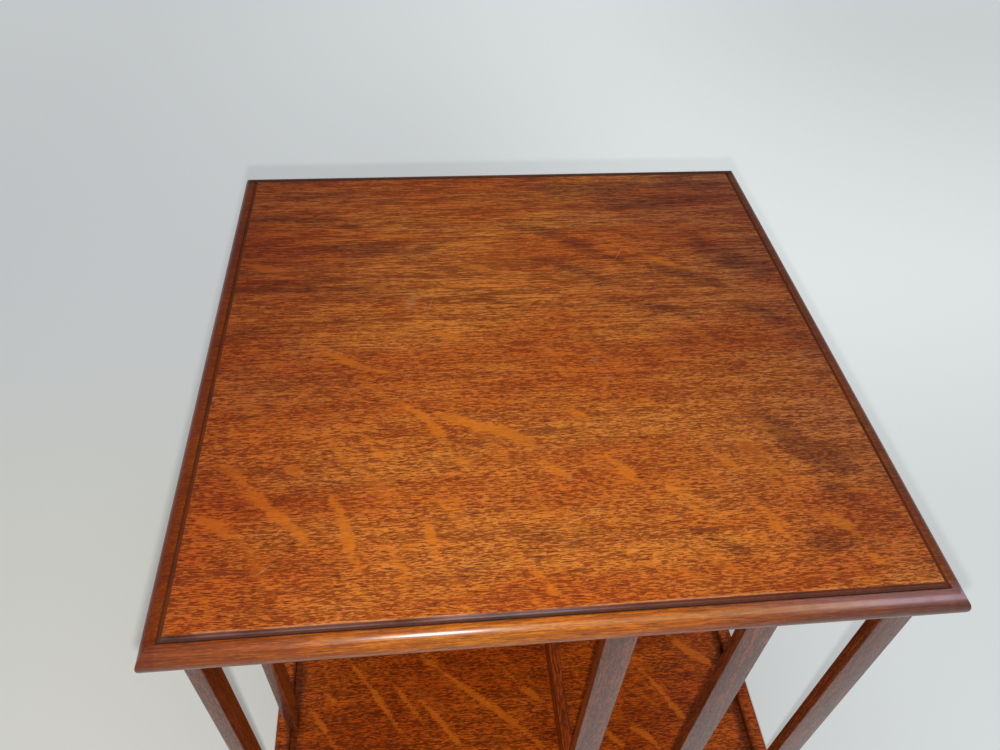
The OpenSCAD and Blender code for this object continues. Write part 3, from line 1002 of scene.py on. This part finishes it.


# %% [markdown]
# The top and the bottom board have a figure laid on them. Noise frays the edges of its
# strokes, and fills the rest with faint rays that slant the same way. On the top the grain
# also changes: dashes are short in front and draw out into long lines at the back.

# %% The figure of the two boards


def rays_and_smoke(graph, slow, bands, fray, slant, faint):
    """How bright the rays are and how deep the smoke is, with faint rays at a slant."""
    wander = graph.noise(graph.place(), (70, 110, 70), 2.0)
    edge = (wander - 0.5) * 1.1 + (fray - 0.5) * 1.5 + (bands - 0.5)
    ray = graph.rise(graph.laid("ray") + edge, 0.26, 0.7)
    drift = graph.noise(graph.turned(graph.place(), (0, 0, slant)), (26, 110, 60), 2.0)
    ray = ray.at_least(graph.rise(drift + (fray - 0.5) * 0.3, 0.52, 0.74) * faint)
    smoke = graph.rise(graph.laid("smoke") + edge * 0.9 + (slow - 0.5) * 1.2, 0.1, 0.95)
    return ray, smoke


def top_figure(graph, slow, bands, fray):
    """How long the dashes of the top are, how bright its rays and how deep its smoke."""
    x, y = graph.parts_mm()[:2]
    border = graph.rise(abs(x).at_least(abs(y)), 166.5, 168.5)
    length = graph.rise(y + (slow - 0.5) * 160, -130, 100).at_least(border)
    ray, smoke = rays_and_smoke(graph, slow, bands, fray, 50, 0.6 - length * 0.35)
    return length, ray.at_least(border * 0.5), smoke


def shelf_figure(graph, slow, bands, fray):
    """The same three for the bottom board, whose dashes are short all over."""
    ray, smoke = rays_and_smoke(graph, slow, bands, fray, 53, 0.4)
    return 0.12, ray, smoke


# %% [markdown]
# ## Age, and painted light and shade
#
# Handling and old polish leave their own colours on the top, and light and shade are painted on
# it as well. Each is a mask and a colour. A mask is a rise or a fall along X, Y or the distance
# out from the middle, in mm, and some noise keeps its edge from being ruled. The kinds of age
# and of painted light follow one by one, and each takes the tone of the wood as it is so far and
# hands it on. What several of them need is worked out once, and handed to each under short names.

# %% Where a point lies on the top


def lie_on_top(graph):
    """The places and patchiness that the ageing goes by, and the band of the painted highlight."""
    x, y, z = graph.parts_mm()
    out = abs(x).at_least(abs(y))
    return SimpleNamespace(
        x=x,
        y=y,
        z=z,
        out=out,
        moulding=graph.rise(out, 167.2, 168),
        cloud=graph.noise(graph.place(), (14, 20, 9), 2.0),
        patch=graph.rise(graph.noise(graph.place(), (50, 50, 50), 3.0), 0.3, 0.6),
        painted_highlight=graph.band(x, -64, -46, -4, 20),
    )


# %% [markdown]
# A stain is multiplied into the tone below it, because that keeps the dashes of the grain,
# where mixing to one colour would wash them out. End grain drinks more stain, so the left and
# right mouldings are darker. The underside of the moulding is darkened by painted shade, and
# the top grows darker and browner away from the front middle by a painted falloff of light.
# At its right end the front moulding carries a hazy lilac painted sheen.

# %% Stain the top and its moulding, and paint their shade and sheen


def stain_and_falloff_top(graph, at, tone):
    """Redder at the left, and darker and browner to the sides and the back: a painted falloff of
    light.
    """
    left = graph.fall(at.x + (at.cloud - 0.5) * 120, -170, -50)
    tone = graph.stain(left, tone, (0.92, 0.76, 0.6, 1))
    # painted falloff of light: darker and browner away from the front middle; the tint's extra blue
    # at the right greys the back right as a painted sheen
    falloff_spread = abs(at.x + 10) + (at.y + 160) * 0.25 + (at.cloud - 0.5) * 160
    brown = graph.mix(graph.rise(at.x, -140, 120), (0.6, 0.54, 0.95, 1), (0.63, 0.63, 1.4, 1))
    return graph.stain(graph.rise(falloff_spread, 60, 270), tone, brown)


def stain_shade_and_sheen_moulding(graph, at, tone):
    """Dark all round, most on end grain, streaked in front, painted shade below, painted sheen at
    right.
    """
    end_grain = graph.rise(abs(at.x), 166.5, 168.5)
    tone = graph.stain(end_grain, tone, (0.84, 0.66, 0.45, 1))
    tone = graph.stain(at.moulding, tone, (0.88, 0.9, 0.13, 1))
    front = graph.fall(at.y, -168, -162)
    streak = graph.rise(graph.noise(graph.place(), (55, 1300, 1300), 2.0), 0.48, 0.58)
    tone = graph.stain(streak * at.moulding * front * 0.7, tone, (0.6, 0.48, 0.4, 1))
    sides = graph.rise(abs(at.x + 30) + at.cloud * 40, 60, 180)
    # darker towards the ends of the moulding; at the right end the dark turns lilac-grey, a painted
    # sheen
    corner = graph.rise(at.x + at.cloud * 60, 110, 170)
    dark = graph.mix(corner, shade(88, 28, 8), shade(80, 46, 48))
    tone = graph.mix(sides * at.moulding * 0.5, tone, dark)
    # painted shade: the underside of the moulding is darkened, as it faces away from the light
    below = graph.fall(at.z, 322, 328.5)
    tone = graph.stain(below, tone, (0.75, 0.62, 0.5, 1))
    right = graph.rise(at.x, 40, 140) * front
    outer = graph.rise(at.out, 172.2, 174)
    # painted shade on the lower outer face of the front moulding towards its right end
    tone = graph.stain(right * outer, tone, (0.62, 0.5, 0.6, 1))
    # painted sheen: a hazy lilac reflection on the upper face of the front moulding at its right end
    return graph.mix(right * at.moulding * (1 - outer) * 0.4, tone, shade(156, 120, 130))


# %% [markdown]
# Scratches lie on top of the grain, so they are mixed over it. A few longer ones and some dried
# drops are listed as soft marks: middle x and y, direction in degrees, length and width.
# The fine hair scratches near the front are noise that is drawn out very long, in three
# directions, and kept only where it peaks.

# %% Scratch the top
top_scratches = [
    (12, -121, 20, 34, 0.7), (30, -137, -48, 30, 0.6), (5, -133, 12, 26, 0.6),
    (-86, -1, 4, 26, 0.8), (20, -118, 60, 12, 0.7), (68, 74, 62, 24, 0.6),
    (-40, -142, 20, 16, 0.6), (-128, -138, 40, 12, 0.6), (-52, 30, 75, 22, 0.6),
]
top_drops = [(-63, 34, 80, 24, 9), (36, -20, 10, 9, 5), (42, -34, 0, 8, 5), (10, -98, 80, 8, 4)]


def mark_on(graph, x, y, direction, length, width):
    """A soft mark on the top, at a place and in a direction, in mm and degrees."""
    inputs = {"Vector": graph.place(), "Location": (x * MM, y * MM, TOP_Z * MM)}
    inputs["Rotation"] = (0, 0, math.radians(direction))
    inputs["Scale"] = (length / 2 * MM, width / 2 * MM, 5 * MM)
    local = graph.node("Mapping", {"vector_type": "TEXTURE"}, inputs)
    away = graph.node("VectorMath", {"operation": "LENGTH"}, {"Vector": local}, "Value")
    return graph.fall(away, 0.2, 1.0)


def scratch_top(graph, at, tone):
    """Long scratches, dried drops and fine hair scratches."""
    for scratch in top_scratches:
        tone = graph.mix(mark_on(graph, *scratch) * 0.45, tone, shade(226, 170, 112))
    for drop in top_drops:
        tone = graph.mix(mark_on(graph, *drop) * 0.22, tone, shade(206, 160, 108))
    near = graph.fall(at.y, -100, -60) * graph.fall(at.out, 164, 164.8)
    near = near * graph.fall(abs(at.x - 20), 40, 100)
    for direction in (24, -42, 70):
        hair = graph.noise(graph.turned(graph.place(), (0, 0, direction)), (24, 1500, 3), 0.0)
        handled = graph.rise(graph.noise(graph.place(), (11 + direction / 20, 13, 9), 1.0), 0.5, 0.66)
        strength = graph.rise(hair, 0.75, 0.82) * handled * near * 0.5
        tone = graph.mix(strength, tone, shade(232, 170, 100))
    return tone


# %% [markdown]
# The front quirk holds grey wax and the other three hold brown. Towards the left the grey is
# paler, and just left of the middle almost white, a painted highlight where the lamp catches it.
# A dark line runs in the outer corner of each quirk, and the back quirk and the inside of the
# back moulding are darkened by painted shade.

# %% Fill the quirk with wax, and paint its highlight and shade


def wax_highlight_and_shade_quirk(graph, at, tone):
    """Front wax grey with a painted highlight, others brown, dark outer corners, painted shade at
    rear.
    """
    others = graph.rise(at.y, -168, -164)
    # painted highlight: the wax in the front quirk is paler towards the left, and almost white where
    # the lamp catches it
    wall = graph.mix(graph.rise(at.x, -20, 90), shade(166, 170, 180), shade(94, 88, 98))
    wall = graph.mix(at.patch, shade(92, 80, 76), wall)
    wall = graph.mix(at.painted_highlight * 0.8, wall, shade(212, 212, 222))
    grey = graph.mix(graph.rise(at.out, 165.3, 165.8), wall, shade(64, 56, 56))
    brown = graph.mix(at.patch, shade(76, 46, 30), shade(110, 50, 22))
    quirk = graph.band(at.out, 164.6, 165, 167.2, 167.6)
    tone = graph.mix(quirk * 0.92, tone, graph.mix(others, grey, brown))
    # a dark line in the outer corner of each quirk, strongest in front
    corner = graph.band(at.out, 166.5, 166.8, 167.3, 167.9)
    tone = graph.mix(corner * (0.7 - others * 0.4), tone, shade(54, 26, 16))
    # painted shade along the back quirk and the inside of the back moulding, which face away from the
    # light
    rear = graph.band(at.y, 165.5, 166.5, 169.5, 172)
    return graph.mix(rear * 0.8, tone, shade(56, 32, 24))


# %% [markdown]
# Pale lines run on the front rim of the field and on the crest of the front moulding. They are
# partly wear, where a cloth or a sleeve rubs, and partly painted highlight, where the lamp
# catches these edges. Just left of the middle the rim line is almost white, and towards the
# right end the crest turns lilac as a painted sheen. The front moulding is also the most polished.

# %% Wear the edges, paint their highlights and put the ages together


def wear_and_highlight_edges(graph, at, tone):
    """Pale lines on the front rim of the field and the front moulding's crest: wear and painted
    highlight.
    """
    # part wear, part painted highlight: a pale line along the front rim of the field
    arris = graph.band(at.out, 163.8, 164.3, 164.6, 164.9) * graph.fall(at.y, -164, -160)
    worn_and_highlit = arris * graph.rise(at.cloud + (at.patch - 0.5) * 0.3, 0.45, 0.65)
    tone = graph.mix(worn_and_highlit * 0.35, tone, shade(232, 176, 120))
    # painted highlight: an almost white line on the front rim, where the lamp catches it
    rim = graph.band(at.out, 164.1, 164.5, 165.05, 165.3) * graph.fall(at.y, -168, -164)
    tone = graph.mix(rim * at.painted_highlight * (0.35 + at.patch * 0.45), tone, shade(226, 216, 218))
    # part wear, part painted highlight on the crest of the front moulding, lilac towards the right as
    # a painted sheen
    crest = graph.band(at.out, 169.8, 171, 171.8, 172.8) * graph.fall(at.y, -170, -168)
    crest = crest * (0.4 + at.patch * 0.6)
    strength = graph.rise(at.x, -140, -20) * 0.2 + graph.rise(at.x, 70, 130) * 0.45
    pale = graph.mix(graph.rise(at.x, 80, 150), shade(240, 184, 120), shade(190, 160, 170))
    return graph.mix(crest * strength, tone, pale)


def top_touch(graph, tone):
    """Ages the tone of the top, paints light and shade on it, and tells where it is polished."""
    at = lie_on_top(graph)
    for age in (stain_and_falloff_top, stain_shade_and_sheen_moulding, scratch_top, wax_highlight_and_shade_quirk, wear_and_highlight_edges):
        tone = age(graph, at, tone)
    return tone, 0.18 + at.moulding * (0.1 + graph.fall(at.y, -170, -166) * 0.45)


# %% [markdown]
# The bottom board is darker in its groove and in a strip beside it, inside the slats.

# %% Darken the groove of the bottom board and the strip beside it


def shelf_touch(graph, tone):
    """Darkens the groove of the bottom board and the strip beside it."""
    x, y = graph.parts_mm()[:2]
    out = abs(x).at_least(abs(y))
    patch = graph.noise(graph.place(), (30, 30, 30), 3.0)
    beside = graph.rise(out + (patch - 0.5) * 12, 150.5, 157) * graph.fall(out, 160.5, 163)
    return graph.mix(beside * 0.6, tone, shade(44, 16, 8)), 0.25


# %% [markdown]
# All the oak of the bookcase is the same wood, but each board took the stain in its own way.
# The slats are plain sawn and darker, and the base is darker still. So the four tones, which are
# those of the ground, its clouds, the dashes and the rays, are given for each.

# %% Mix the oak finishes
casing_tones = (shade(176, 78, 24), shade(154, 64, 20), shade(78, 30, 12), shade(186, 98, 36))
base_tones = (shade(146, 66, 28), shade(126, 55, 24), shade(66, 27, 12), shade(164, 90, 36))
finishes = {
    "oak_top": oak(
        "oak top", (0, 0, 0),
        (shade(230, 138, 54), shade(214, 110, 36), shade(118, 34, 10), shade(230, 126, 28)),
        top_figure, top_touch,
    ),
    "oak_shelf": oak(
        "oak shelf", (0, 0, 0),
        (shade(208, 97, 20), shade(184, 77, 14), shade(68, 20, 4), shade(216, 112, 22)),
        shelf_figure, shelf_touch, fine=0.82,
    ),
    "oak_slat": oak(
        "oak slat", (0, 90, 0),
        (shade(150, 72, 36), shade(130, 59, 28), shade(50, 21, 11), shade(162, 87, 45)),
        polish=0.75, fine=0.9,
    ),
    "oak_casing": oak("oak casing", (0, 90, 0), casing_tones, fine=0.8),
    "oak_base": oak("oak feet", (0, 90, 0), base_tones, fine=0.8),
    "oak_wedge": oak(
        "oak wedge", (0, 90, 0),
        (shade(190, 144, 92), shade(176, 128, 78), shade(130, 84, 46), shade(196, 150, 100)),
    ),
}
print("oak finishes:", len(finishes))

# %% [markdown]
# Grain always runs along a piece. It stands upright in the slats, the casing boards and the feet,
# which the finishes above are turned for. The rails, the two bearers and the collar lie in
# different directions, so each gets a finish turned to its own grain.

# %% Mix the finishes that are turned along a piece
along_x = oak("oak rail along x", (0, 0, 0), casing_tones, fine=0.8)
along_y = oak("oak rail along y", (0, 0, 90), casing_tones, fine=0.8)
turned_finishes = {
    "rail_left": along_x,
    "rail_right": along_x,
    "rail_front": along_y,
    "rail_back": along_y,
    "bearer_under": oak("oak bearer under", (0, 0, -45), base_tones, fine=0.8),
    "bearer_over": oak("oak bearer over", (0, 0, 45), base_tones, fine=0.8),
    "base_collar": oak("oak collar", (0, 0, 0), base_tones, fine=0.8),
}
print("turned finishes:", len(turned_finishes))

# %% [markdown]
# ## Beech, brass and steel
#
# The post is beech, a pale and even wood with short flecks instead of open pores. Brass and
# steel are metals, so their colour lies in what they reflect. Old brass is browner where it
# isn't rubbed, and both carry fine lines from turning.

# %% The finishes of the hidden parts


def beech(name):
    """Waxed beech with its grain upright."""
    graph = new_finish(name)
    grain = graph.turned(graph.place(), (0, 90, 0))
    broad = graph.noise(grain, (10, 60, 60), 3.0)
    fleck = graph.rise(graph.noise(grain, (260, 900, 900), 1.0), 0.6, 0.7)
    tone = graph.mix(graph.rise(broad, 0.3, 0.7), shade(186, 140, 98), shade(206, 164, 122))
    tone = graph.mix(fleck * 0.45, tone, shade(150, 100, 64))
    return graph.finish_with({
        "Base Color": tone,
        "Roughness": 0.5 - broad * 0.1,
        "Normal": graph.relief(broad - fleck, 0.05, 0.2),
    })


def metal(name, bright, dull, rough):
    """A metal with fine turning lines and duller patches."""
    graph = new_finish(name)
    patch = graph.rise(graph.noise(graph.place(), (90, 90, 90), 4.0), 0.4, 0.65)
    lines = graph.noise(graph.place(), (300, 300, 5000), 1.0)
    return graph.finish_with({
        "Base Color": graph.mix(patch * 0.7, bright, dull),
        "Metallic": 1.0,
        "Roughness": rough + patch * 0.2 + lines * 0.08,
        "Normal": graph.relief(lines, 0.03, 0.15),
    })


finishes["beech_post"] = beech("beech post")
finishes["brass"] = metal("brass", shade(206, 166, 92), shade(150, 110, 56), 0.25)
finishes["screw_brass"] = metal("screw brass", shade(214, 178, 104), shade(160, 122, 66), 0.22)
finishes["steel"] = metal("steel", shade(176, 178, 180), shade(130, 130, 132), 0.24)
print("finishes:", len(finishes))

# %% [markdown]
# ## Put the pieces in place of their CAD parts
#
# Each piece is named for the CAD part that it replaces, takes that part's finish, and rides on
# the same body. The base stands still, and the carcass turns on it.

# %% Dress the frame
slots = {}
for slot, nodes in (
    ("oak_top", ["top_board"]),
    ("oak_shelf", ["bottom_board"]),
    ("oak_slat", list(slats)),
    ("oak_casing", list(casing_boards) + list(rails)),
    ("oak_base", list(bearers) + list(feet) + ["base_collar"]),
    ("oak_wedge", ["post_wedge"]),
    ("beech_post", ["post"]),
    ("brass", ["pivot_cup", "guide_ring"]),
    ("screw_brass", ["pivot_cup_screws", "guide_ring_screws"]),
    ("steel", ["pivot_pin"]),
):
    for node in nodes:
        slots[node] = slot
base_nodes = frame["record"]["behaviour"]["bodies"]["base"]
for node, piece in pieces.items():
    piece.data.materials.clear()
    piece.data.materials.append(turned_finishes.get(node) or finishes[slots[node]])
    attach(piece, "base" if node in base_nodes else "carcass")
    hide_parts(node)
print("on the base:", len(base_nodes), "of", len(pieces))

# %% [markdown]
# ## The floor and the light
#
# The bookcase stands on a seamless pale ground. A large plane does that, with a colour that
# drifts a little across it. What the lamp lays on the ground would be too grey for the camera,
# so the ground also glows faintly, but only for the camera and for the polish that mirrors it:
# the glow is multiplied by the sum of two Light Path outputs, and so it never lights the wood.
# The drift and the glow are painted light: the ground is paler to the left and behind, and it
# glows more in a pool behind the bookcase and to its right, which lightens the lamp's shadow there.
#
# A small lamp beside the camera throws the hard bands of shadow that the slats lay on the board
# below. Its light falls off with distance, not with the square of it, which leaves the far side
# of the top a little darker than the near one. The sky fills in the rest softly.

# %% Lay the floor
let_go()
bpy.ops.mesh.primitive_plane_add(size=14, location=(0, 0, 0))
floor = named("floor")
graph = new_finish("pale ground")
x, y = graph.parts_mm()[:2]
# painted light: the ground's colour is paler to the left and behind
paper = graph.mix(graph.rise(x, -400, 300), shade(232, 232, 222), shade(188, 192, 192))
paper = graph.mix(graph.rise(y, 0, 500), paper, shade(230, 234, 236))
seen = graph.node("LightPath", {}, {}, "Is Camera Ray")
glossy = graph.node("LightPath", {}, {}, "Is Glossy Ray")
# painted light: a pool of glow behind the bookcase and more glow to the right, which lightens the
# lamp's shadow there
behind = graph.fall(abs(x - 150), 0, 800) * graph.rise(y, 200, 1200)
beside = graph.rise(x, -100, 400) * (1 - graph.rise(y, 200, 1300) * 0.8)
lift = behind * 0.1 + graph.rise(y, 100, 1600) * 0.11 + beside * 0.26 + 0.12
lift = lift * (seen + glossy)
fibre = graph.noise(graph.place(), (900, 900, 900), 2.0)
floor.data.materials.append(graph.finish_with({
    "Base Color": paper,
    "Roughness": 0.9,
    "Specular IOR Level": 0.2,
    "Emission Color": graph.mix(lift, (0, 0, 0, 1), (0.95, 1.0, 1.0, 1)),
    "Emission Strength": 1.0,
    "Normal": graph.relief(fibre, 0.05, 0.05),
}))
print("nodes of the ground:", len(graph.tree.nodes))

# %% [markdown]
# A lamp has a graph too. Its falloff is one node, whose Linear output is a strength that fades
# with distance, and the bulb is small so that its shadows stay crisp.

# %% Hang the lamp
bulb = bpy.data.lights.new("hand lamp", "POINT")
bulb.shadow_soft_size = 0.0035
bulb.energy = 9.3
beam = Graph(bulb)
even = beam.node("LightFalloff", {}, {"Strength": 1.0}, "Linear")
beam.node("OutputLight", {}, {"Surface": beam.node("Emission", {}, {"Strength": even})})
lamp = bpy.data.objects.new("hand lamp", bulb)
lamp.location = (-0.0565, -0.336, 0.622)
lamp.visible_camera = False
bpy.context.scene.collection.objects.link(lamp)
print("lamp at", [round(part, 3) for part in lamp.location])

# %% [markdown]
# The sky of the studio is brighter in front than behind, as in a room lit from one side. The
# polish then mirrors a dim back, and the wood keeps its depth of colour. Seen directly, the
# sky is as pale as the ground.

# %% Light the studio
studio = Graph(bpy.data.worlds.new("studio"))
bpy.context.scene.world = studio.owner
y = studio.parts(studio.node("TexCoord", {}, {}, "Generated"))[Y]
sky = studio.mix(studio.rise(y, -0.5, 0.7), (0.5, 0.5, 0.5, 1), (0.25, 0.255, 0.26, 1))
seen = studio.node("LightPath", {}, {}, "Is Camera Ray")
sky = studio.mix(seen, sky, shade(212, 216, 216))
glow = studio.node("Background", {}, {"Color": sky, "Strength": 1.0})
studio.node("OutputWorld", {}, {"Surface": glow})
print("nodes of the sky:", len(studio.tree.nodes))
